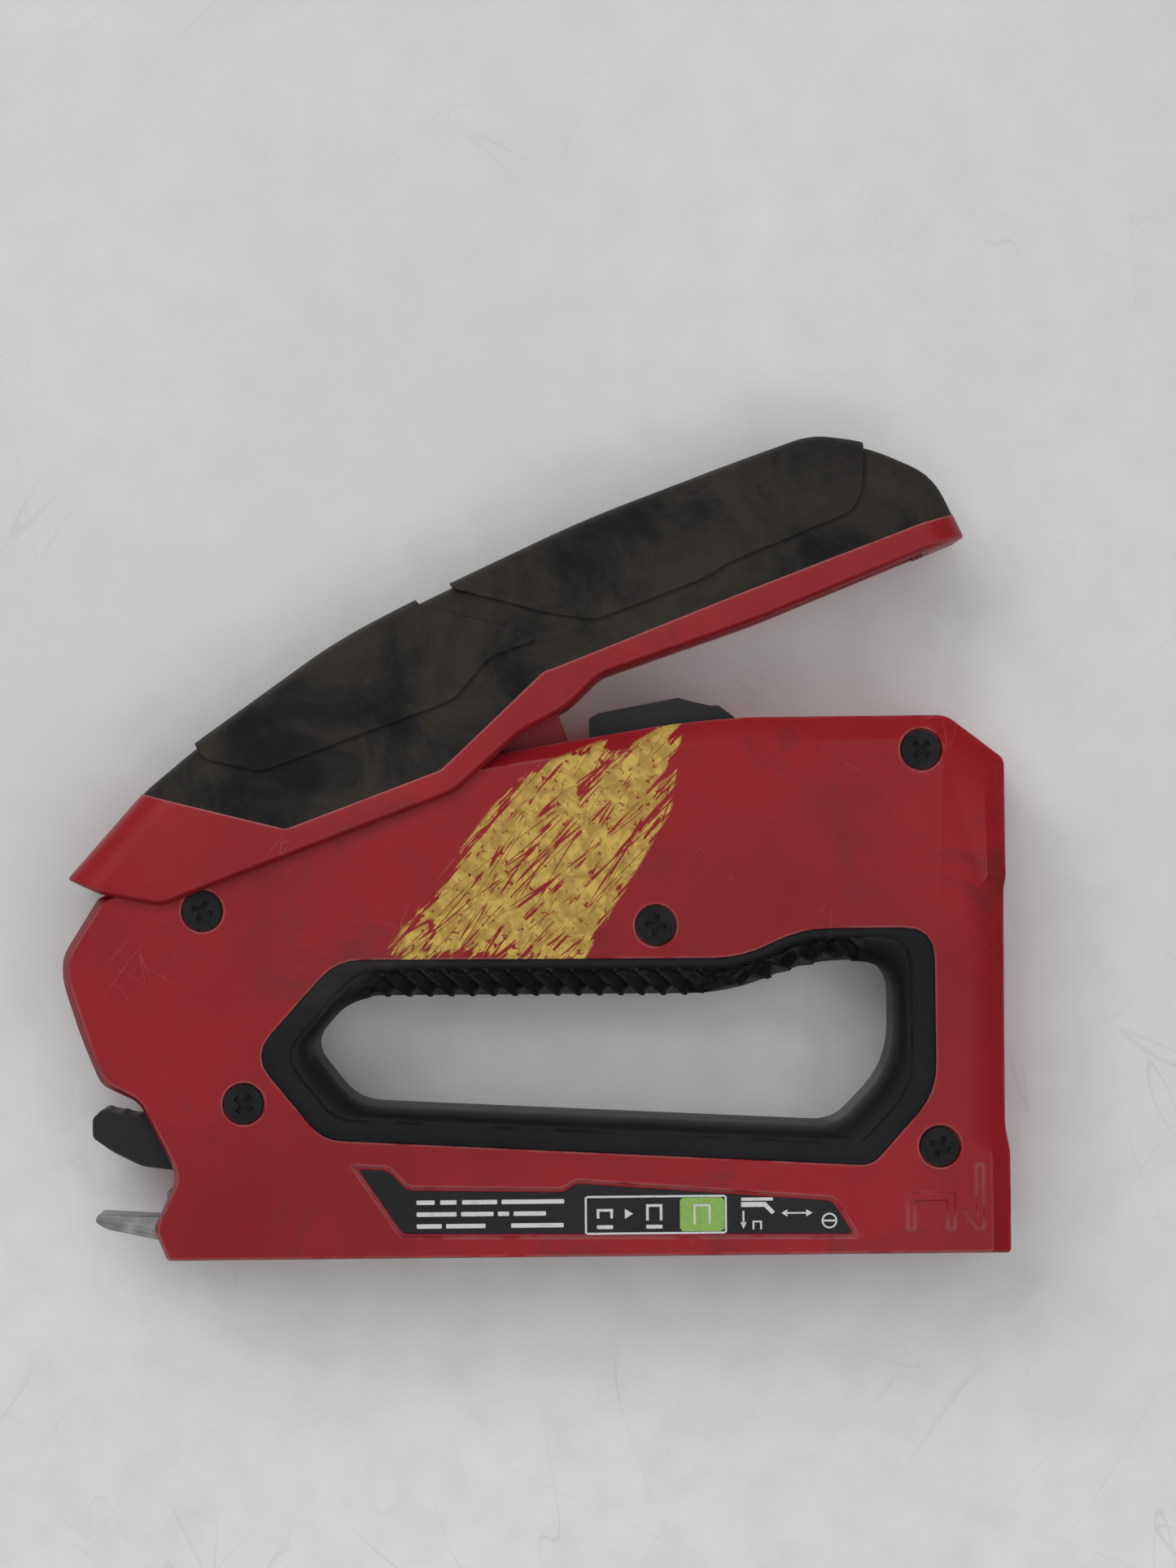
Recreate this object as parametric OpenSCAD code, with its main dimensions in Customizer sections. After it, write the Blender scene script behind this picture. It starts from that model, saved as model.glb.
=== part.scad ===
// Hand staple gun: two moulded halves, a squeeze handle, a coil-driven striker and a rear-loading magazine.
// X runs from the rear to the nose, Y from the right side to the left, Z up from the base.

/* [Body] */
// Width of the two housing halves together
body_w = 27; // [24:0.5:34]
// Distance from the middle of the tool to the front of the nose
nose_x = 75.8; // [74:0.1:92]
// Height of the flat deck on top of the nose
deck_z = 86.3; // [84:0.1:104]
// Thickness of the housing walls
wall = 2.2; // [1.8:0.1:2.8]
// Depth of the bevel around the top and the nose, measured across the tool
bevel_y = 2.2; // [1:0.1:3]
// Wall of the housing around the finger opening
grip_wall = 1.8; // [1.4:0.1:2]
// How far the finger grip stands proud of the housing
grip_proud = 0.4; // [0.2:0.05:0.5]
// Depth of the sloped wall between the finger grip's flange and its hole
grip_slope = 7; // [4:0.5:9]

/* [Handle] */
// Gap between the housing and the inside of the handle, each side
handle_gap = 0.6; // [0.5:0.1:1.2]
// Thickness of the handle's side walls, rubber included
handle_wall = 2.2; // [1.8:0.1:3]
// Thickness of the rubber on the handle's sides
rubber_side = 1.1; // [0.8:0.1:1.3]
// Thickness of the rubber along the handle's back
rubber_top = 2.5; // [1.5:0.1:3]
// Radius of the handle's hinge pin
hinge_r = 2.5; // [2:0.1:3]
// Half the thickness of the drive leg that hangs inside the handle
leg_half = 4.5; // [3:0.5:5]

/* [Drive] */
// Radius of the pin that the power lever turns on
lever_pin_r = 2.5; // [2:0.1:3]
// Radius of the two cross pins at the lever's ends
cross_pin_r = 1.5; // [1.2:0.1:1.8]
// Thickness of each lever plate
plate_t = 1.5; // [1:0.1:2]
// Wire of the drive spring
drive_wire = 1.3; // [1:0.1:1.5]
// Middle radius of the drive spring's coil
drive_coil_r = 4.9; // [4.4:0.1:5.2]
// Thickness of the driver blade
blade_t = 1.2; // [0.8:0.1:1.4]
// Half the width of the driver blade
blade_half = 5.5; // [4.6:0.1:5.6]

/* [Magazine] */
// Half the outer width of the staple channel
channel_half = 6.55; // [5.6:0.05:7.8]
// Sheet thickness of the channel, the rail and the pusher
sheet = 0.8; // [0.6:0.05:0.9]
// Half the width of the core rail that the staples ride on
rail_half = 4.7; // [4:0.1:4.8]
// Height of the core rail's top above the base
rail_z = 10.6; // [9:0.1:10.8]
// Radius of the rod inside the pusher spring
rod_r = 1.1; // [0.8:0.1:1.3]

/* [Fasteners] */
// Radius of the screw heads
screw_head_r = 3.05; // [2.6:0.05:3.3]
// Height of the screw heads
screw_head_h = 1.8; // [1.4:0.1:1.8]
// Radius of the screws' threads
screw_r = 1.6; // [1.2:0.1:1.8]
// Radial gap between a turning part and its pin
running = 0.05; // [0.02:0.01:0.1]

/* [Hidden] */
$fn = 48;

over = 1;                  // how far a cut runs past the face it opens
bend_steps = 4;            // straight pieces in each rounded corner of an outline
rear_x = -75.8;
half_w = body_w / 2;
inner_w = half_w - wall;
seat_gap = 0.05;           // gap between pieces that are set into each other

// Hinges and pins
pivot_x = -58.5;
pivot_z = deck_z - 22.8;
pivot_boss_r = 7;
lever_x = 36;
lever_z = deck_z - 20.3;
roller_x = 2.5;
roller_z = deck_z - 14.3;
roller_r = 3;
lift_x = nose_x - 10.8;
lift_z = deck_z - 26.9;
lift_travel = 1.2;         // how far the lift pin moves along X as the lever turns
latch_x = -53.5;
latch_z = 17.5;

// The side of the body, clockwise from the rear bottom corner:
// [x, z, reach of the rounding, how far the bevel moves that corner in x and in z]
body_outline = [
    [-59.5, 0, 0.6, 0.5, 0.3], [-61.6, 5.2, 1, 0.6, 0], [-57.7, 13.5, 2.5, 0.7, 0.1],
    [-63.8, 25.5, 1.5, 0.5, 0.5], [-69.8, 28.3, 1.5, 0.8, 0.7], [-73, 36, 4, 1.2, 0.3],
    [rear_x, 45, 1.9, 1.2, 0.1], [rear_x, 49, 1.9, 1.2, -0.1], [-70, deck_z - 28.1, 0.6, 1, -0.6],
    [pivot_x - pivot_boss_r, pivot_z - 3.5, 0.6, 0.8, -0.5],
    [pivot_x - pivot_boss_r, pivot_z + 4.6, 6, 0.8, -0.8],
    [-2, deck_z - 4.8, 8, 0.4, -2], [23, deck_z - 0.9, 5, 0.5, -3.3], [34, deck_z, 5, 0.3, -3.6],
    [nose_x - 9.6, deck_z, 1.5, -1.7, -3.7], [nose_x - 0.4, deck_z - 7.1, 1, -3.2, -1.8],
    [nose_x - 0.3, deck_z - 26, 0.5, -3.2, 0.2], [nose_x - 0.7, deck_z - 28, 0.5, -4.3, -0.1],
    [nose_x - 0.8, 20.4, 1, -4.2, -1.6], [nose_x, 16.3, 1, -3.1, -0.1], [nose_x, 0, 0.8, -3, 0.4]];
// Other outlines as [x, z, reach of the rounding], clockwise
grip_outline = [
    [-31.8, 48, 4], [33, 47.7, 8], [42.5, 52.3, 6], [63.8, 52.3, 5], [63.9, 26, 4.5],
    [53.5, 14.4, 2], [-34.3, 19.3, 3], [-45.4, 32.9, 4.5]];
// Width of the grip's flat flange along each of those edges
flange_w = [1.6, 1.6, 1.6, 4, 3.6, 3.4, 3.8, 3.8];
hole_outline = [
    [-29.8, 41.8, 5], [31, 41.6, 12], [44.5, 46.8, 6], [57.3, 46.8, 6], [57.2, 30, 6],
    [48.1, 20.4, 3.5], [-29.3, 24.5, 4], [-36.6, 34, 3.5]];
label_outline = [
    [-29.8, 15.2, 0.6], [-23.7, 14.8, 1], [-20.7, 11.6, 1], [4, 11.1, 1], [6, 12.5, 0.8],
    [47.4, 9.3, 1], [51.4, 2.9, 0.8], [-21.9, 3.6, 0.8]];
label_depth = 0.5;
label_t = 0.35;
screw_places = [[-53.2, deck_z - 30.2, 20], [-46.9, 25.2, 35], [19.3, 53.1, 10],
    [nose_x - 13.8, deck_z - 5.5, 45], [nose_x - 11.4, 17.3, 25]];
boss_r = 3.6;
screw_reach = 7;           // how far the screws reach past the middle of the tool

function unit(v) = v / norm(v);
function at(list, i) = list[(i + len(list)) % len(list)];
function place(c) = [c[0], c[1]];
function all_edges(list, gap) = [for (c = list) gap];
function blend(a, b, t) = a * (1 - t) + b * t;
// Where the line through p along d meets the line through q along e
function meet(p, d, q, e) =
    p + d * (((q[0] - p[0]) * e[1] - (q[1] - p[1]) * e[0]) / (d[0] * e[1] - d[1] * e[0]));
// A clockwise outline with each edge moved inwards by its own gap
function inset(list, gaps) = [for (i = [0 : len(list) - 1])
    let (b = place(list[i]), d = unit(b - place(at(list, i - 1))), e = unit(place(at(list, i + 1)) - b),
        m = meet(b + [d[1], -d[0]] * at(gaps, i - 1), d, b + [e[1], -e[0]] * gaps[i], e))
    [m[0], m[1], list[i][2]]];
// Each corner becomes a short curve that starts and ends at its reach from the corner
function rounded(list, steps = bend_steps) = [for (i = [0 : len(list) - 1])
    let (a = place(at(list, i - 1)), b = place(list[i]), c = place(at(list, i + 1)),
        reach = min(list[i][2], norm(b - a) * 0.45, norm(c - b) * 0.45),
        p = b + unit(a - b) * reach, q = b + unit(c - b) * reach)
    each [for (s = [0 : steps]) let (t = s / steps) blend(blend(p, b, t), blend(b, q, t), t)]];
function ring_at(outline, y) = [for (c = outline) [c[0], y, c[1]]];

function turn(a, b, c) = (b[0] - a[0]) * (c[2] - a[2]) - (b[2] - a[2]) * (c[0] - a[0]);
function is_clear(ring, left, a, b, c) = len([for (j = left) let (p = ring[j])
    if (p != a && p != b && p != c && turn(a, b, p) <= 0 && turn(b, c, p) <= 0 && turn(c, a, p) <= 0) j]) == 0;
function ear(ring, left, i = 0) =
    let (a = ring[at(left, i - 1)], b = ring[left[i]], c = ring[at(left, i + 1)])
    i == len(left) - 1 || (turn(a, b, c) < 0 && is_clear(ring, left, a, b, c)) ? i : ear(ring, left, i + 1);
// A flat clockwise ring as triangles, cut off it one corner at a time
function ears(ring, left) = len(left) == 3 ? [left] :
    let (k = ear(ring, left))
    concat([[at(left, k - 1), left[k], at(left, k + 1)]],
        ears(ring, [for (i = [0 : len(left) - 1]) if (i != k) left[i]]));
// A solid through rings of equal length, each ring seen clockwise from the first ring's outer side
module loft(rings, small = 6) {
    n = len(rings[0]);
    m = len(rings);
    sides = [for (k = [0 : m - 2]) for (i = [0 : n - 1])
        let (a = k * n + i, b = k * n + (i + 1) % n) each [[b, a, a + n], [b, a + n, b + n]]];
    whole = [for (i = [0 : n - 1]) i];
    first = n > small ? ears(rings[0], whole) : [whole];
    last = n > small ? ears(rings[m - 1], whole) : [whole];
    ends = concat(first, [for (f = last) [for (i = [len(f) - 1 : -1 : 0]) (m - 1) * n + f[i]]]);
    polyhedron([for (ring = rings) each ring], concat(sides, ends), convexity = 8);
}
// A flat shape drawn in X and Z, made solid between two places across the tool
module across(y0, y1) {
    translate([0, y1, 0]) rotate([90, 0, 0]) linear_extrude(y1 - y0) children();
}
module pin_across(x, z, r, y0, y1) {
    translate([x, y1, z]) rotate([90, 0, 0]) cylinder(r = r, h = y1 - y0);
}
module block(x0, x1, y0, y1, z0, z1) {
    translate([x0, y0, z0]) cube([x1 - x0, y1 - y0, z1 - z0]);
}
// A flat bar with round ends between two points
module bar(p, q, r) {
    side = unit([q[1] - p[1], p[0] - q[0]]) * r;
    translate(p) circle(r);
    translate(q) circle(r);
    polygon([p + side, q + side, q - side, p - side]);
}
// A coil of round wire standing on Z = 0, its wire ends inside the given height
module coil(mean_r, wire, height, turns, ring_steps = 14) {
    rings = [for (s = [0 : round(turns * ring_steps)])
        let (a = 360 * s / ring_steps,
            z = wire / 2 + (height - wire) * s / round(turns * ring_steps))
        [for (k = [0 : 5]) [(mean_r + cos(60 * k) * wire / 2) * cos(a),
            (mean_r + cos(60 * k) * wire / 2) * sin(a), z + sin(60 * k) * wire / 2]]];
    loft(rings);
}

// ---- Housing ----
module shell_solid() {
    edge = rounded(body_outline);
    face = rounded([for (c = body_outline) [c[0] + c[3], c[1] + c[4], c[2]]]);
    loft([ring_at(face, -half_w), ring_at(edge, bevel_y - half_w), ring_at(edge, 0)]);
}
module screw_bosses(y0, y1) {
    for (s = screw_places) pin_across(s[0], s[1], boss_r, y0, y1);
}
rib_gap = 0.15;            // gap between the ribs and the steel channel they hold
rib_z = 12.4;              // top of the magazine space
module inner_structure() {
    // the wall around the finger opening
    across(-inner_w - seat_gap, 0)
        polygon(rounded(inset(grip_outline, all_edges(grip_outline, -grip_wall))));
    screw_bosses(-inner_w - seat_gap, 0);
    pin_across(pivot_x, pivot_z, pivot_boss_r - 0.5, -inner_w - seat_gap, 0);
    pin_across(lever_x, lever_z, 5, -inner_w - seat_gap, -plate_y - plate_t - 0.7);
    pin_across(latch_x, latch_z, 3.4, -inner_w - seat_gap, -latch_half - 0.4);
    // ribs beside the magazine and beside the nose plates
    block(-57, nose_x - 3.2, -channel_half - rib_gap - 1.6, -channel_half - rib_gap, 0, rib_z);
    block(nose_x - 8.3, nose_x - 2, -inner_w - seat_gap, -channel_half - rib_gap, rib_z, 50);
    // shelf that the drive spring's cap sits under
    block(spring_x - 6.5, spring_x + 5, -inner_w - seat_gap, -5.4, cap_z + 1.3, deck_z - wall + seat_gap);
}
module housing_half() {
    difference() {
        union() {
            difference() {
                shell_solid();
                across(-inner_w, over) polygon(rounded(inset(body_outline, all_edges(body_outline, wall))));
            }
            inner_structure();
            pictograms();
        }
        across(-half_w - over, over) polygon(rounded(inset(grip_outline, all_edges(grip_outline, -seat_gap))));
        across(-half_w - over, label_depth - half_w) polygon(rounded(label_outline));
        // magazine slot, latch window and the slot for the drive leg and the lock
        block(rear_x, nose_x - 3.2, -channel_half - rib_gap, over, -over, rib_z);
        block(rear_x, -55.4, -latch_half - 0.4, over, rib_z, 24.2);
        block(-9, 38.5, -lock_half - 0.3, over, deck_z - 9, deck_z + over);
        pin_across(pivot_x, pivot_z, hinge_r, -half_w - over, over);
        pin_across(lever_x, lever_z, lever_pin_r, -half_w + 1.2, over);
        pin_across(latch_x, latch_z, cross_pin_r, -half_w + 1.2, over);
    }
}
// Raised signs beside the nose: a staple, and an arrow to where it comes out
module pictograms() {
    bar_w = 1.2;
    x0 = nose_x - 16.7;
    x1 = nose_x - 9.1;
    y0 = -half_w - 0.3;
    y1 = -half_w + seat_gap;
    block(x0, x1, y0, y1, 8.7, 9.9);
    block(x0, x0 + bar_w, y0, y1, 4, 9.9);
    block(x1 - bar_w, x1, y0, y1, 4, 9.9);
    block(nose_x - 5.7, nose_x - 4.5, y0, y1, 4, 14.4);
    across(y0, y1) polygon([[nose_x - 5.7, 4], [nose_x - 5.7, 5.8], [nose_x - 6.8, 7.6], [nose_x - 7.6, 7]]);
}
module right_housing() {
    color("firebrick") difference() {
        housing_half();
        for (s = screw_places) {
            pin_across(s[0], s[1], screw_head_r + 0.35, -half_w - over, -half_w + screw_head_h);
            pin_across(s[0], s[1], screw_r, -half_w, over);
        }
    }
}
module left_housing() {
    color("firebrick") mirror([0, 1, 0]) difference() {
        housing_half();
        for (s = screw_places) pin_across(s[0], s[1], screw_r, -screw_reach, over);
    }
}
module housing_screws() {
    color([0.1, 0.1, 0.11]) for (s = screw_places) difference() {
        union() {
            pin_across(s[0], s[1], screw_head_r, -half_w, -half_w + screw_head_h);
            pin_across(s[0], s[1], screw_r, -half_w + screw_head_h - over, screw_reach);
        }
        translate([s[0], -half_w, s[1]]) rotate([0, s[2], 0]) {
            cube([3.4, 1.8, 0.9], center = true);
            cube([0.9, 1.8, 3.4], center = true);
        }
    }
}
module finger_grip_half() {
    flange = rounded(inset(grip_outline, flange_w));
    hole = rounded(hole_outline);
    face_y = -half_w - grip_proud;
    steps = 3;
    difference() {
        across(face_y, 0) polygon(rounded(grip_outline));
        loft(concat([ring_at(flange, face_y - over)],
            [for (s = [0 : steps]) let (a = 90 * s / steps)
                ring_at(blend(flange, hole, sin(a)), face_y + grip_slope * (1 - cos(a)))],
            [ring_at(hole, over)]));
    }
}
module right_finger_grip() { color([0.12, 0.12, 0.13]) finger_grip_half(); }
module left_finger_grip() { color([0.12, 0.12, 0.13]) mirror([0, 1, 0]) finger_grip_half(); }
module label_half() {
    across(label_depth - half_w - label_t, label_depth - half_w)
        polygon(rounded(inset(label_outline, all_edges(label_outline, 0.6))));
}
module right_label() { color([0.15, 0.15, 0.16]) label_half(); }
module left_label() { color([0.15, 0.15, 0.16]) mirror([0, 1, 0]) label_half(); }

// ---- Steel inside the nose and the magazine ----
blade_x = nose_x - 6.2;    // rear face of the driver blade
nose_wall = 1.4;
module nose_plate() {
    front = blade_x + blade_t + 0.4;
    color("silver") difference() {
        block(blade_x - 1.4, front + nose_wall, -channel_half, channel_half, 0.8, 50);
        block(blade_x - 1.4 - over, front, -channel_half + sheet, channel_half - sheet, 0, 50 + over);
    }
}
module striker_guide() {
    color("silver") block(blade_x - 1.5, blade_x - 0.4, -channel_half + sheet + 0.1,
        channel_half - sheet - 0.1, rib_z + 0.2, 50);
}
channel_z = rail_z + 1.6;
module staple_channel() {
    color("silver") difference() {
        block(-36, blade_x - 1.8, -channel_half, channel_half, 1, channel_z);
        block(-36 - over, blade_x, -channel_half + sheet, channel_half - sheet, 0, channel_z - sheet);
    }
}
module handle_pivot_pin() {
    color("silver") pin_across(pivot_x, pivot_z, hinge_r, -half_w - handle_gap - 0.8, half_w + handle_gap + 0.8);
}
module lever_pivot_pin() {
    color("silver") pin_across(lever_x, lever_z, lever_pin_r, -half_w + 1.2, half_w - 1.2);
}
module latch_pivot_pin() {
    color("silver") pin_across(latch_x, latch_z, cross_pin_r, -half_w + 1.2, half_w - 1.2);
}

// ---- Striker and its spring ----
spring_x = nose_x - 23.8;
block_half = 6;            // half the width of the striker block
block_z0 = lift_z - 3.2;
block_z1 = lift_z + 3.2;
cap_z = deck_z - 3.5;      // underside of the spring's cap
module striker_block() {
    slack = 0.5;
    color([0.35, 0.36, 0.38]) difference() {
        union() {
            block(spring_x - 6.5, blade_x + blade_t + 0.8 - 0.6, -block_half, block_half, block_z0, block_z1);
            translate([spring_x, 0, block_z1 - over]) cylinder(r = 3.4, h = 4 + over);
        }
        // slot that the lift pin slides in
        across(-block_half - over, block_half + over)
            bar([lift_x - slack, lift_z], [lift_x + lift_travel + slack, lift_z], cross_pin_r + slack);
        block(blade_x, blade_x + blade_t + over, -blade_half - 0.1, blade_half + 0.1, block_z0 - over, lift_z);
    }
}
module driver_blade() {
    color("silver") difference() {
        block(blade_x, blade_x + blade_t, -blade_half, blade_half, 1, lift_z);
        translate([blade_x - over, 0, lift_z - 1.7]) rotate([0, 90, 0]) cylinder(r = 0.8, h = 3 * over);
    }
}
module striker_rivet() {
    color("silver") translate([blade_x, 0, lift_z - 1.7]) rotate([0, 90, 0]) {
        cylinder(r = 0.8, h = blade_t);
        translate([0, 0, blade_t]) cylinder(r = 1.3, h = 0.3);
    }
}
module drive_spring() {
    color("dimgray") translate([spring_x, 0, block_z1])
        coil(drive_coil_r, drive_wire, cap_z - block_z1, 5.5);
}
module drive_spring_cap() {
    color([0.2, 0.2, 0.22]) translate([spring_x, 0, cap_z]) {
        cylinder(r = 5.8, h = 1.3);
        translate([0, 0, -2.5]) cylinder(r = 3.4, h = 2.5 + over);
    }
}
bumper_z = 52.3 + grip_wall;
module striker_bumper() {
    color([0.08, 0.08, 0.08]) block(spring_x - 5, spring_x + 7, -block_half, block_half, bumper_z,
        bumper_z + 1.7);
}

// ---- Power lever ----
plate_y = 7;               // inner face of each lever plate
module lever_plate(y0) {
    color([0.45, 0.46, 0.48]) difference() {
        across(y0, y0 + plate_t) {
            bar([roller_x, roller_z], [lever_x, lever_z], 3.4);
            bar([lever_x, lever_z], [lift_x, lift_z], 3.2);
            translate([lever_x, lever_z]) circle(5);
        }
        pin_across(roller_x, roller_z, cross_pin_r, y0 - over, y0 + plate_t + over);
        pin_across(lift_x, lift_z, cross_pin_r, y0 - over, y0 + plate_t + over);
        pin_across(lever_x, lever_z, lever_pin_r + running, y0 - over, y0 + plate_t + over);
    }
}
module right_lever_plate() { lever_plate(-plate_y - plate_t); }
module left_lever_plate() { lever_plate(plate_y); }
module lever_bush() {
    color("goldenrod") difference() {
        pin_across(lever_x, lever_z, lever_pin_r + 1.6, -plate_y, plate_y);
        pin_across(lever_x, lever_z, lever_pin_r + running, -plate_y - over, plate_y + over);
    }
}
module lever_roller() {
    color("silver") difference() {
        pin_across(roller_x, roller_z, roller_r, -plate_y + 0.3, plate_y - 0.3);
        pin_across(roller_x, roller_z, cross_pin_r + running, -plate_y, plate_y);
    }
}
module lever_roller_pin() {
    color("dimgray") pin_across(roller_x, roller_z, cross_pin_r, -plate_y - plate_t - 0.2, plate_y + plate_t + 0.2);
}
module lever_lift_pin() {
    color("dimgray") pin_across(lift_x, lift_z, cross_pin_r, -plate_y - plate_t - 0.2, plate_y + plate_t + 0.2);
}
return_x = 11;
return_z = 48 + grip_wall;
module lever_return_spring() {
    color("dimgray") for (side = [-1, 1]) translate([return_x, side * (plate_y + plate_t / 2), return_z])
        coil(1.9, 0.7, 15.2, 6, 12);
}

// ---- Handle: its side outline as [x, z, reach], clockwise from the rear tip, from the hinge pin ----
handle_outline = [
    [-16.4, -2.1, 0.6], [-3.9, 11.9, 2], [4.2, 18.6, 3], [27.1, 34.8, 8], [38.6, 40.8, 6], [66.7, 53.8, 8],
    [92, 63.2, 6], [103.6, 67.2, 3], [112.5, 66, 4], [123, 61.4, 4], [127.9, 51.2, 0.6],
    [94.5, 37.8, 3], [69.5, 29.3, 1.5], [64.5, 24.4, 1.5], [56.6, 20.2, 1], [46, 10.9, 1.5], [4.1, -4.8, 1.5],
    [-1, -6.8, 1.5], [-11.1, -4.8, 1.5]];
back_edges = 10;           // the outline's first edges, those of the back
// Line between the red shell and the rubber, then round above the handle
rubber_zone = [[-3.7, 11.3], [18.9, 5.6], [43.8, 14.8], [60.4, 30.4], [61.6, 30.7], [91.6, 42.4],
    [120.6, 53.3], [126.1, 54.9], [140, 56], [140, 90], [-10, 90], [-6, 12]];
handle_half = half_w + handle_gap + handle_wall;
back_r = 6;                // rounding of the handle's back edges
roof_wall = 2.2;           // red plastic under the rubber on the back
under_rubber = rubber_top + 1.1;
// The outline with its back lowered, and all other edges moved in by their own gap
function lowered(back, rear, rest) = inset(handle_outline,
    [for (i = [0 : len(handle_outline) - 1]) i == 0 ? rear : i < back_edges ? back : rest]);
function handle_ring(y, back) = [for (p = rounded(lowered(back, back * 0.85, back / 4), 2))
    [p[0] + pivot_x, y, p[1] + pivot_z]];
module handle_solid() {
    turns = [0, 35, 65, 90];
    loft(concat(
        [for (a = turns) handle_ring(-handle_half + back_r * (1 - cos(a)) * 0.9, back_r * (1 - sin(a)))],
        [for (i = [3 : -1 : 0]) handle_ring(handle_half - back_r * (1 - cos(turns[i])) * 0.9,
            back_r * (1 - sin(turns[i])))]));
}
module in_handle(half, outline) {
    translate([pivot_x, 0, pivot_z]) across(-half, half) polygon(outline);
}
// The red core that the rubber is moulded over; at the rear it is the bare shell
module handle_core() {
    in_handle(handle_half - rubber_side, rounded(lowered(under_rubber, -1, 0.8), 2));
}
// Space inside the handle, as [half width, front end]: the front end is rounded, so it narrows there
module handle_hollow() {
    boss_room = pivot_boss_r + 0.6;
    for (step = [[half_w + handle_gap, 121], [half_w - 2.5, 124.5]]) intersection() {
        in_handle(step[0], rounded(lowered(under_rubber + roof_wall, roof_wall, -12), 2));
        in_handle(step[0] + over, [[-14, -20], [-14, 5], [10, 70], [step[1], 70], [step[1], 40], [60, -20]]);
    }
    pin_across(pivot_x, pivot_z, boss_room, -half_w - handle_gap, half_w + handle_gap);
}
module rubber_space() {
    in_handle(handle_half + over, rubber_zone);
}
module rubber_room() {
    side_y = handle_half - rubber_side;
    // along both sides and over the back
    for (y = [-handle_half - over, side_y]) translate([pivot_x, 0, pivot_z])
        across(y, y + rubber_side + over) polygon(rubber_zone);
    translate([pivot_x, 0, pivot_z]) across(-handle_half, handle_half) difference() {
        polygon(rubber_zone);
        polygon(rounded(lowered(under_rubber, -1, 0.8), 2));
    }
}
module handle_shell() {
    color("crimson") difference() {
        handle_solid();
        rubber_room();
        handle_hollow();
        pin_across(pivot_x, pivot_z, hinge_r + running, -half_w - handle_gap - 1, half_w + handle_gap + 1);
    }
}
module handle_grip() {
    color([0.14, 0.14, 0.14]) difference() {
        intersection() {
            handle_solid();
            rubber_space();
        }
        handle_core();
    }
}
module handle_cam() {
    color("firebrick") translate([pivot_x, 0, pivot_z]) {
        across(-leg_half, leg_half)
            polygon([[55, 12.1], [48, 36], [56.9, 40], [66.4, 12.1]]);
        across(-half_w - handle_gap + 0.5, half_w + handle_gap - 0.5)
            polygon([[46, 33.5], [46, 37.4], [60, 43.9], [60, 40]]);
    }
}

// ---- Storage lock in the deck ----
lock_half = 5.2;
module storage_lock() {
    color([0.13, 0.13, 0.14]) {
        across(-lock_half, lock_half) polygon([[9, deck_z - 6.6], [9, deck_z + 0.1], [10.5, deck_z + 0.9],
            [23.4, deck_z + 3.3], [25.4, deck_z + 2.7], [28.4, deck_z + 2], [29.9, deck_z + 2],
            [32.4, deck_z + 0.1], [32.4, deck_z - 6.6]]);
        block(10, 31, -8, 8, deck_z - 7.9, deck_z - 6.4);
    }
}

// ---- Magazine latch ----
latch_half = 6;
module magazine_latch() {
    color([0.13, 0.13, 0.14]) difference() {
        union() {
            across(-latch_half, latch_half) polygon(rounded([[-71.8, 19.5, 0.6], [-71.8, 22.8, 0.8],
                [-70, 23.9, 0.6], [-62.7, 22.4, 1], [-59, 20.9, 1], [latch_x, latch_z + 3.4, 0.5],
                [latch_x + 3, latch_z + 1.5, 0.5], [latch_x + 3, latch_z - 2.2, 0.5],
                [-59, 14.2, 0.5], [-63.8, 14.8, 1], [-68.6, 17.2, 1]]));
            across(-4, 4) bar([latch_x, latch_z], [-41.2, 15], 2.2);
            across(-2.2, 2.2) polygon([[-42.8, 15], [-41.9, rail_z + 1], [-40.4, rail_z + 1], [-39.2, 15]]);
            for (x = [-69.9, -67.3, -64.7]) pin_across(x, 22.9 - (x + 69.9) * 0.2, 1.1, -latch_half, latch_half);
        }
        pin_across(latch_x, latch_z, 4.3, -1.9, 1.9);
        pin_across(latch_x, latch_z, cross_pin_r + running, -latch_half - over, latch_half + over);
    }
}
module latch_spring() {
    color("dimgray") translate([latch_x, 1.6, latch_z]) rotate([90, 0, 0]) coil(2.6, 0.7, 3.2, 3.5);
}

// ---- Magazine rail, pulled out to the rear ----
rail_x0 = -60;
rail_x1 = blade_x - 2.6;
rod_z = 5.6;
pusher_x = rail_x1 - 10;   // rear end of the pusher when no staples are loaded
module core_rail() {
    color("gainsboro") difference() {
        union() {
            difference() {
                block(rail_x0, rail_x1, -rail_half, rail_half, 1.2, rail_z);
                block(rail_x0 + 1.5, rail_x1 + over, -rail_half + sheet, rail_half - sheet, 0, rail_z - sheet);
            }
            across(-rail_half, rail_half) polygon(rounded([[rail_x0 + 0.5, 2.4, 0.1], [-69.9, 4.6, 1],
                [-71.7, 5.8, 0.5], [-71.2, 7, 0.4], [rail_x0 + 0.5, 6.3, 0.1]]));
        }
        block(pusher_x - 73, rail_x1 - 3, -1.3, 1.3, rail_z - sheet - over, rail_z + over);
        block(-43, -37.4, -2.6, 2.6, rail_z - sheet - over, rail_z + over);
        translate([rail_x0 - over, 0, rod_z]) rotate([0, 90, 0]) cylinder(r = rod_r, h = 4 * over);
    }
}
module spring_rod() {
    color("silver") translate([rail_x0 + 0.4, 0, rod_z]) rotate([0, 90, 0])
        cylinder(r = rod_r, h = rail_x1 - rail_x0 - 0.4);
}
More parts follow.
